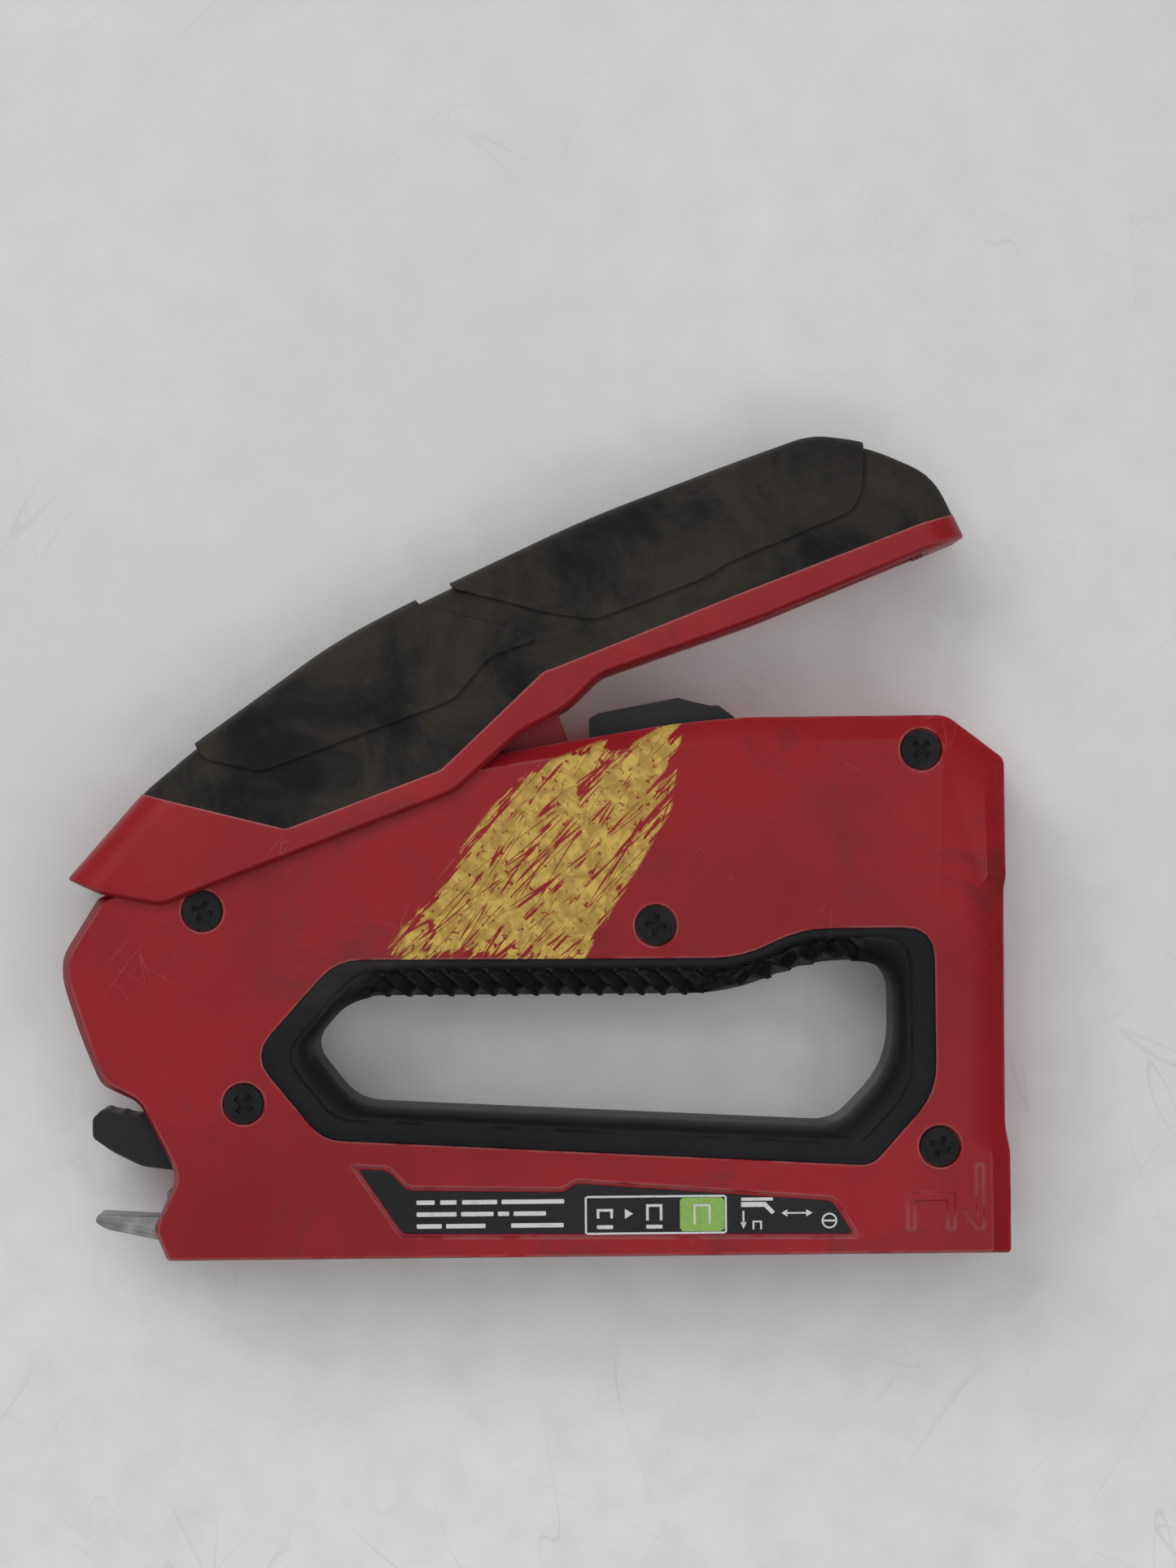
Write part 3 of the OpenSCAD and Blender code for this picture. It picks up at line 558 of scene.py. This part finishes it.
def combined(base, cutters):  # base and (operation, bmesh) pairs, joined exactly; gives a new bmesh
    block = asObject(base, "blank")
    tools = []
    for operation, bm in cutters:
        tool = asObject(bm, "cutter")
        tools.append(tool)
        change = block.modifiers.new("cut", "BOOLEAN")
        change.operation = operation
        change.solver = "EXACT"
        change.object = tool
    evaluated = block.evaluated_get(bpy.context.evaluated_depsgraph_get())
    result = bmesh.new()
    result.from_mesh(evaluated.to_mesh())
    evaluated.to_mesh_clear()
    for item in [block] + tools:
        bpy.data.objects.remove(item)
    bmesh.ops.remove_doubles(result, verts=result.verts, dist=0.001)
    bmesh.ops.dissolve_degenerate(result, edges=result.edges, dist=0.002)
    return result


def insetCorners(points, gaps):
    result = []
    for i, (x, z, reach) in enumerate(points):
        corner = Vector((x, z))
        before = (corner - Vector(points[i - 1][:2])).normalized()
        after = (Vector(points[(i + 1) % len(points)][:2]) - corner).normalized()
        p = corner + Vector((before.y, -before.x)) * gaps[i - 1]
        q = corner + Vector((after.y, -after.x)) * gaps[i]
        turn = before.x * after.y - before.y * after.x
        along = ((q - p).x * after.y - (q - p).y * after.x) / turn
        result.append((*(p + before * along), reach))
    return result


def ringPoints(points, counts, steps):  # every ring gets the same number of points, so that rings join
    corners = []
    for i, (x, z, reach) in enumerate(points):
        b = Vector((x, z))
        a, c = Vector(points[i - 1][:2]), Vector(points[(i + 1) % len(points)][:2])
        near = min(reach, (a - b).length * 0.45, (c - b).length * 0.45)
        start, end = b + (a - b).normalized() * near, b + (c - b).normalized() * near
        corners.append([start.lerp(b, s / steps).lerp(b.lerp(end, s / steps), s / steps)
                        for s in range(steps + 1)])
    ring = []
    for i, curve in enumerate(corners):
        following = corners[(i + 1) % len(corners)][0]
        ring += curve + [curve[-1].lerp(following, s / counts[i]) for s in range(1, counts[i])]
    return ring


def loftRings(rows):  # closed rings of points joined in order; gives the mesh and each ring's edges
    bm = bmesh.new()
    loops = []
    for row in rows:
        verts = [bm.verts.new(place) for place in row]
        loops.append([bm.edges.new((verts[i - 1], verts[i])) for i in range(len(verts))])
    for first, second in zip(loops, loops[1:]):
        bmesh.ops.bridge_loops(bm, edges=first + second)
    return bm, loops


# CAD nodes copied with their own finish, some with rounded edges
refined = {  # node: piece, look, body, slot, rounding in millimetres, angle from which edges are rounded
    "right_housing": ("rightHousing", "redPlastic", "body", "red_plastic", 0, 40),
    "left_housing": ("leftHousing", "redPlastic", "body", "red_plastic", 0, 40),
    "housing_screws": ("housingScrews", "blackSteel", "body", "black_steel", 0.12, 50),
    "right_label": ("rightLabel", "labelFilm", "body", "label_film", 0, 40),
    "left_label": ("leftLabel", "labelFilm", "body", "label_film", 0, 40),
    "magazine_latch": ("magazineLatch", "blackPlastic", "latch", "black_plastic", 0.25, 40),
    "storage_lock": ("storageLock", "blackPlastic", "lock", "black_plastic", 0.3, 20),
    "core_rail": ("coreRail", "zincSteel", "magazine", "zinc_steel", 0.12, 40),
    "handle_cam": ("handleCam", "handleRed", "handle", "red_plastic", 0.4, 40)}


def refineNode(node):
    name, look, body, slot, width, angle = refined[node]
    bm = bmesh.new()
    bm.from_mesh(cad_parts[node].data)
    bmesh.ops.remove_doubles(bm, verts=bm.verts, dist=0.002 * mm)
    bmesh.ops.dissolve_limit(bm, angle_limit=math.radians(1), verts=bm.verts, edges=bm.edges)
    piece = finishPiece(bm, name, look, body, (node,), scale=1.0)
    if width:
        roundEdges(piece, width, 2, angle, harden=True)


for node in refined:
    refineNode(node)
print("refined pieces made")


# the squeeze handle: a red shell with rubber over its back and sides
handle = {
    "pivot": (-58.5, 63.5), "halfWidth": 16.3, "backRounding": 6.0, "backSteps": 9,
    "outline": [  # x, z and the reach of each corner's rounding, from the hinge, clockwise from the rear tip
        (-16.4, -2.1, 0.6), (-3.9, 11.9, 2), (4.2, 18.6, 3), (27.1, 34.8, 8), (38.6, 40.8, 6),
        (66.7, 53.8, 8), (92, 63.2, 6), (103.6, 67.2, 3), (112.5, 66, 4), (123, 61.4, 4), (127.9, 51.2, 0.6),
        (94.5, 37.8, 3), (69.5, 29.3, 1.5), (64.5, 24.4, 1.5), (56.6, 20.2, 1), (46, 10.9, 1.5),
        (4.1, -4.8, 1.5), (-1, -6.8, 1.5), (-11.1, -4.8, 1.5)],
    "backCorners": 10,
    "rubberZone": [(-3.7, 11.3, 0), (18.9, 5.6, 0.6), (43.8, 14.8, 0.6), (60.4, 30.4, 0.6), (61.6, 30.7, 0.3),
                   (91.6, 42.4, 0.5), (120.6, 53.3, 0.5), (126.1, 54.9, 0), (140, 56, 0), (140, 90, 0),
                   (-10, 90, 0), (-6, 12, 0)],
    "rubberDepth": 1.1, "rubberGap": 0.12, "coreGaps": (3.6, 3.2, 0.8),
    "bossRoom": 7.6, "bossSteps": 40, "past": 3,
    "hollowGaps": (5.8, 2.2, -12), "hollowHalf": 14.1, "hollowFront": 121,
    "noseHollow": {"narrower": 3.1, "front": 124.5}}
panels = {  # raised pads of the rubber, as seen from the side, from the hinge
    "height": 0.7, "edge": 0.9, "edgeAngle": 55, "corner": 1.2,
    "rear": [(6.0, 16.9), (15.1, 14.8), (45.8, 25.9), (51.8, 32.7), (59.5, 35.5), (52.3, 38.1),
             (40.5, 40.9), (30, 60), (-10, 40)],
    "front": [(45.4, 43.9), (60.9, 39.6), (68.6, 38.4), (86.1, 44.9), (89.6, 47.2), (109.6, 55.3),
              (111.4, 58.8), (111.7, 64.7), (112, 90), (38, 70)]}


def fromHinge(bm):
    bmesh.ops.translate(bm, vec=(handle["pivot"][0], 0, handle["pivot"][1]), verts=bm.verts)
    return bm


def handleGaps(back, rear, rest):
    count = len(handle["outline"])
    return [rear if i == 0 else back if i < handle["backCorners"] else rest for i in range(count)]


def handleBlank(grow=0.0):  # rings across the handle, so its back is rounded and its sides are flat
    half, radius = handle["halfWidth"] + grow, handle["backRounding"]
    angles = [math.radians(90 * s / handle["backSteps"]) for s in range(handle["backSteps"] + 1)]
    places = [(-half + radius * (1 - math.cos(a)) * 0.9, radius * (1 - math.sin(a))) for a in angles]
    rows = []
    for y, drop in places + [(-y, drop) for y, drop in reversed(places)]:
        gaps = handleGaps(drop - grow, drop * 0.85 - grow, drop * 0.2 - grow)
        outline = insetCorners(handle["outline"], gaps)
        rows.append([(p.x, y, p.y) for p in ringPoints(outline, [1] * len(outline), 5)])
    bm, loops = loftRings(rows)
    bmesh.ops.contextual_create(bm, geom=loops[0])
    bmesh.ops.contextual_create(bm, geom=loops[-1])
    bmesh.ops.recalc_face_normals(bm, faces=bm.faces)
    return fromHinge(bm)


def coreSolid():
    half = handle["halfWidth"] - handle["rubberDepth"]
    return fromHinge(prism(insetCorners(handle["outline"], handleGaps(*handle["coreGaps"])), -half, half))


def rubberRoom():
    reach = handle["halfWidth"] + handle["past"]
    zone = fromHinge(prism(handle["rubberZone"], -reach, reach))
    return combined(zone, [("DIFFERENCE", coreSolid())])


def hollowSolid(half, front):
    limit = [(-14, -20, 0), (-14, 5, 0), (10, 70, 0), (front, 70, 0), (front, 40, 0), (60, -20, 0)]
    hollow = prism(insetCorners(handle["outline"], handleGaps(*handle["hollowGaps"])), -half, half)
    return combined(fromHinge(hollow), [("INTERSECT", fromHinge(prism(limit, -half - 1, half + 1)))])


def bossRoom():
    half, radius = handle["hollowHalf"], handle["bossRoom"]
    angles = [-math.tau * i / handle["bossSteps"] for i in range(handle["bossSteps"])]
    circle = [(radius * math.cos(a), radius * math.sin(a), 0) for a in angles]
    return fromHinge(prism(circle, -half, half))


def addHandle():
    half = handle["hollowHalf"]
    nose = handle["noseHollow"]
    rooms = [rubberRoom(), hollowSolid(half, handle["hollowFront"]),
             hollowSolid(half - nose["narrower"], nose["front"]), bossRoom()]
    shell = combined(handleBlank(), [("DIFFERENCE", room) for room in rooms])
    finishPiece(shell, "handleShell", "handleRed", "handle", ("handle_shell",))
    rubber = combined(handleBlank(-handle["rubberGap"]), [("INTERSECT", rubberRoom())])
    finishPiece(rubber, "handleRubber", "blackRubber", "handle", ("handle_grip",))
    for side in ("rear", "front"):
        reach = handle["halfWidth"] + handle["past"]
        shape = fromHinge(prism([(x, z, panels["corner"]) for x, z in panels[side]], -reach, reach, 3))
        pad = combined(handleBlank(panels["height"]), [("INTERSECT", shape), ("DIFFERENCE", coreSolid())])
        piece = finishPiece(pad, side + "Pad", "blackRubber", "handle")
        roundEdges(piece, panels["edge"], 3, panels["edgeAngle"])
    print("handle made")


addHandle()


# finger grips: a flat rim, a crease, then a sloped wall with slanting grooves under the top edge
fingerGrip = {
    "outer": [(-31.8, 48, 4), (33, 47.7, 8), (42.5, 52.3, 6), (63.8, 52.3, 5), (63.9, 26, 4.5),
              (53.5, 14.4, 2), (-34.3, 19.3, 3), (-45.4, 32.9, 4.5)],
    "rim": [1.6, 1.6, 1.6, 4, 3.6, 3.4, 3.8, 3.8],
    "hole": [(-29.8, 41.8, 5), (31, 41.6, 12), (44.5, 46.8, 6), (57.3, 46.8, 6), (57.2, 30, 6),
             (48.1, 20.4, 3.5), (-29.3, 24.5, 4), (-36.6, 34, 3.5)],
    "face": -13.9, "slope": 7.0, "rings": 14, "edgeRounding": 0.35, "crease": 0.35,
    "cornerSteps": 6, "spacing": 0.42, "groovePitch": 3.4, "grooveDepth": 1.5,
    "grooveFrom": -27.5, "grooveTo": 53, "grooveFloor": 40.5, "grooveSlant": 1.05,
    "topEdge": {"height": 41.8, "bend": 31, "rise": 0.385, "limit": 5.2}}


def addFingerGrip(side):
    outer, hole = fingerGrip["outer"], fingerGrip["hole"]
    face = fingerGrip["face"]
    counts = []
    for i, corner in enumerate(outer):
        length = (Vector(outer[(i + 1) % len(outer)][:2]) - Vector(corner[:2])).length
        counts.append(max(2, round(length / (fingerGrip["spacing"] if i in (0, 1, 2) else 3))))
    flat = [0.0] * len(outer)
    edge = fingerGrip["edgeRounding"]
    rim = fingerGrip["rim"]
    rings = [(outer, flat, -2.0), (outer, flat, face + edge), (outer, [edge * 0.3] * 8, face + edge * 0.3),
             (outer, [edge] * 8, face), (outer, [gap - 0.55 for gap in rim], face),
             (outer, [gap - 0.3 for gap in rim], face + 0.1),
             (outer, [gap - 0.1 for gap in rim], face + fingerGrip["crease"])]
    steps = fingerGrip["cornerSteps"]
    rows = [[(p.x, y, p.y) for p in ringPoints(insetCorners(points, gaps), counts, steps)]
            for points, gaps, y in rings]
    start = ringPoints(insetCorners(outer, rim), counts, steps)
    end = ringPoints(hole, counts, steps)
    slopeFirst = len(rows)
    for ringIndex in range(fingerGrip["rings"] + 1):
        angle = math.pi / 2 * ringIndex / fingerGrip["rings"]
        y = face + 0.15 + (fingerGrip["slope"] - 0.15) * (1 - math.cos(angle))
        between = [p.lerp(q, math.sin(angle)) for p, q in zip(start, end)]
        rows.append([(p.x, y, p.y) for p in between])
    rows.append([(p.x, -0.02, p.y) for p in end])
    bm, loops = loftRings(rows)
    bmesh.ops.bridge_loops(bm, edges=loops[-1] + loops[0])
    bmesh.ops.recalc_face_normals(bm, faces=bm.faces)
    bm.normal_update()
    # the grooves: slanting stripes pressed into the upper wall, fading at both ends and at the rim
    top = fingerGrip["topEdge"]
    for loop in loops[slopeFirst:slopeFirst + fingerGrip["rings"] + 1]:
        for vert in {vert for item in loop for vert in item.verts}:
            x, y, z = vert.co
            if z < fingerGrip["grooveFloor"] or not fingerGrip["grooveFrom"] < x < fingerGrip["grooveTo"]:
                continue
            depth = (y - face) / fingerGrip["slope"]
            fade = min(1, (x - fingerGrip["grooveFrom"]) / 2, (fingerGrip["grooveTo"] - x) / 3, depth * 45)
            ground = top["height"] + max(0, min(top["limit"], (x - top["bend"]) * top["rise"]))
            stripe = (x + (z - ground) * fingerGrip["grooveSlant"]) / fingerGrip["groovePitch"] % 1
            ridge = min(1, max(0, abs(stripe - 0.5) * 4.4 - 0.75))
            vert.co -= vert.normal * fingerGrip["grooveDepth"] * (1 - ridge) * max(0, fade)
    if side == "left":
        mirrorAcross(bm)
    node = side + "_finger_grip"
    finishPiece(bm, side + "FingerGrip", "trimRubber", "body", (node,), sharp=50)


for side in ("right", "left"):
    addFingerGrip(side)
print("finger grips made")


# print on the labels: a frame with a coloured block, plain bars and small signs
printing = {
    "depth": -13.35, "thickness": 0.06,
    "frame": {"box": (7.5, 3.7, 30.2, 9.9), "line": 0.32},
    "block": (22.7, 4.1, 29.8, 9.5),
    "rows": [  # x, z, then the widths of bars and of the spaces between them
        (-19.4, 8.75, (2.9, 0.9, 2.6, 0.9, 5.6, 0.7, 10.0)),
        (-19.4, 6.85, (6.4, 0.7, 5.2, 0.7, 1.8, 0.7, 5.2)), (-19.4, 4.95, (4.0, 0.7, 6.3, 4.1, 8.4))],
    "rowHeight": 0.7,
    "staples": [  # x, z, width, height, line
        (9.4, 6.3, 2.6, 1.5, 0.42), (17.3, 5.9, 2.6, 2.6, 0.42), (24.9, 5.2, 2.7, 3.2, 0.3),
        (34.3, 4.3, 1.5, 1.4, 0.28)],
    "softBars": [(9.4, 4.6, 12.0, 5.2), (17.3, 4.6, 19.9, 5.2), (32.5, 8.9, 37.6, 9.4)],  # x and z, x and z
    "sharpBars": [(32.7, 5.4, 33.0, 7.3), (39.9, 6.75, 42.9, 7.0), (45.6, 5.45, 47.6, 5.75)],
    "shapes": [  # a triangle between the sizes, a stroke, a down arrow and the two ends of a long arrow
        [(13.9, 6.2), (13.9, 7.8), (15.2, 7.0)],
        [(32.5, 8.7), (32.5, 7.9), (36.2, 7.9), (37.4, 6.7), (37.9, 7.1), (36.4, 8.7)],
        [(32.35, 5.5), (33.35, 5.5), (32.85, 4.4)],
        [(39.9, 6.3), (39.9, 7.45), (38.9, 6.875)], [(42.9, 6.3), (42.9, 7.45), (43.9, 6.875)]],
    "knob": {"centre": (46.6, 5.6), "radius": 1.25, "inner": 0.78, "segments": 24}}
printFace = printing["depth"] - printing["thickness"]


def flatBar(bm, x0, z0, x1, z1, reach=0.12, steps=2):
    verts = [bm.verts.new((x, printFace, z)) for x, z in ((x0, z0), (x0, z1), (x1, z1), (x1, z0))]
    bm.faces.new(verts)
    if reach:
        for vert in verts:
            roundCorner(bm, vert, reach, steps)


def flatShape(bm, points):
    bm.faces.new([bm.verts.new((x, printFace, z)) for x, z in points])


def stapleSign(bm, x, z, width, height, line):
    flatShape(bm, [(x, z), (x, z + height), (x + width, z + height), (x + width, z), (x + width - line, z),
                   (x + width - line, z + height - line), (x + line, z + height - line), (x + line, z)])


def thicken(bm):
    bmesh.ops.recalc_face_normals(bm, faces=bm.faces)
    moved = bmesh.ops.extrude_face_region(bm, geom=bm.faces[:])
    bmesh.ops.translate(bm, vec=(0, printing["thickness"], 0), verts=vertsOf(moved))
    bmesh.ops.recalc_face_normals(bm, faces=bm.faces)


def addKnobSign(bm):
    knob = printing["knob"]
    circle = bmesh.ops.create_circle(bm, segments=knob["segments"], radius=knob["radius"])
    ring = list({edge for vert in circle["verts"] for edge in vert.link_edges})
    inner = vertsOf(bmesh.ops.extrude_edge_only(bm, edges=ring))
    bmesh.ops.scale(bm, vec=(knob["inner"],) * 3, verts=inner)
    place = Matrix.Translation((knob["centre"][0], printFace, knob["centre"][1]))
    upright = place @ Matrix.Rotation(math.pi / 2, 4, "X")
    bmesh.ops.transform(bm, matrix=upright, verts=circle["verts"] + inner)


def whitePrint():
    bm = bmesh.new()
    x0, z0, x1, z1 = printing["frame"]["box"]
    line = printing["frame"]["line"]
    flatBar(bm, x0 + 0.3, z0, x1 - 0.3, z0 + line, 0)
    flatBar(bm, x0 + 0.3, z1 - line, x1 - 0.3, z1, 0)
    for x in (x0, x1 - line):
        flatBar(bm, x, z0 + 0.2, x + line, z1 - 0.2, 0)
    for x, z, widths in printing["rows"]:
        for index, width in enumerate(widths):
            if index % 2 == 0:
                flatBar(bm, x, z, x + width, z + printing["rowHeight"])
            x += width
    for sign in printing["staples"]:
        stapleSign(bm, *sign)
    for bar in printing["softBars"]:
        flatBar(bm, *bar)
    for bar in printing["sharpBars"]:
        flatBar(bm, *bar, 0)
    for points in printing["shapes"]:
        flatShape(bm, points)
    addKnobSign(bm)
    return bm


def addPrint(side):
    for name, look in (("Print", "whiteInk"), ("Block", "greenInk")):
        if name == "Print":
            bm = whitePrint()
        else:
            bm = bmesh.new()
            x0, z0, x1, z1 = printing["block"]
            flatBar(bm, x0, z0, x1, z1, 0.7, 3)
            bmesh.ops.translate(bm, vec=(0, 0.02, 0), verts=bm.verts)
        thicken(bm)
        if side == "left":
            mirrorAcross(bm)
        finishPiece(bm, side + name, look, "body", sharp=30)


for side in ("right", "left"):
    addPrint(side)
print("label print made")


# finishes of the CAD nodes that stay
nodeLooks = {
    "zincSteel": ["nose_plate", "staple_channel", "handle_pivot_pin", "lever_pivot_pin", "latch_pivot_pin",
                  "spring_rod", "rod_stop", "pusher", "lever_roller_pin", "lever_lift_pin"],
    "springSteel": ["drive_spring", "lever_return_spring", "latch_spring", "pusher_spring"],
    "leverSteel": ["right_lever_plate", "left_lever_plate", "lever_roller", "striker_block", "driver_blade",
                   "striker_rivet", "striker_guide"],
    "bronze": ["lever_bush"],
    "blackPlastic": ["drive_spring_cap", "pusher_block"],
    "blackRubber": ["striker_bumper"]}
for look, nodes in nodeLooks.items():
    for node in nodes:
        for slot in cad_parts[node].material_slots:
            slot.material = looks[look]
print("finishes set")
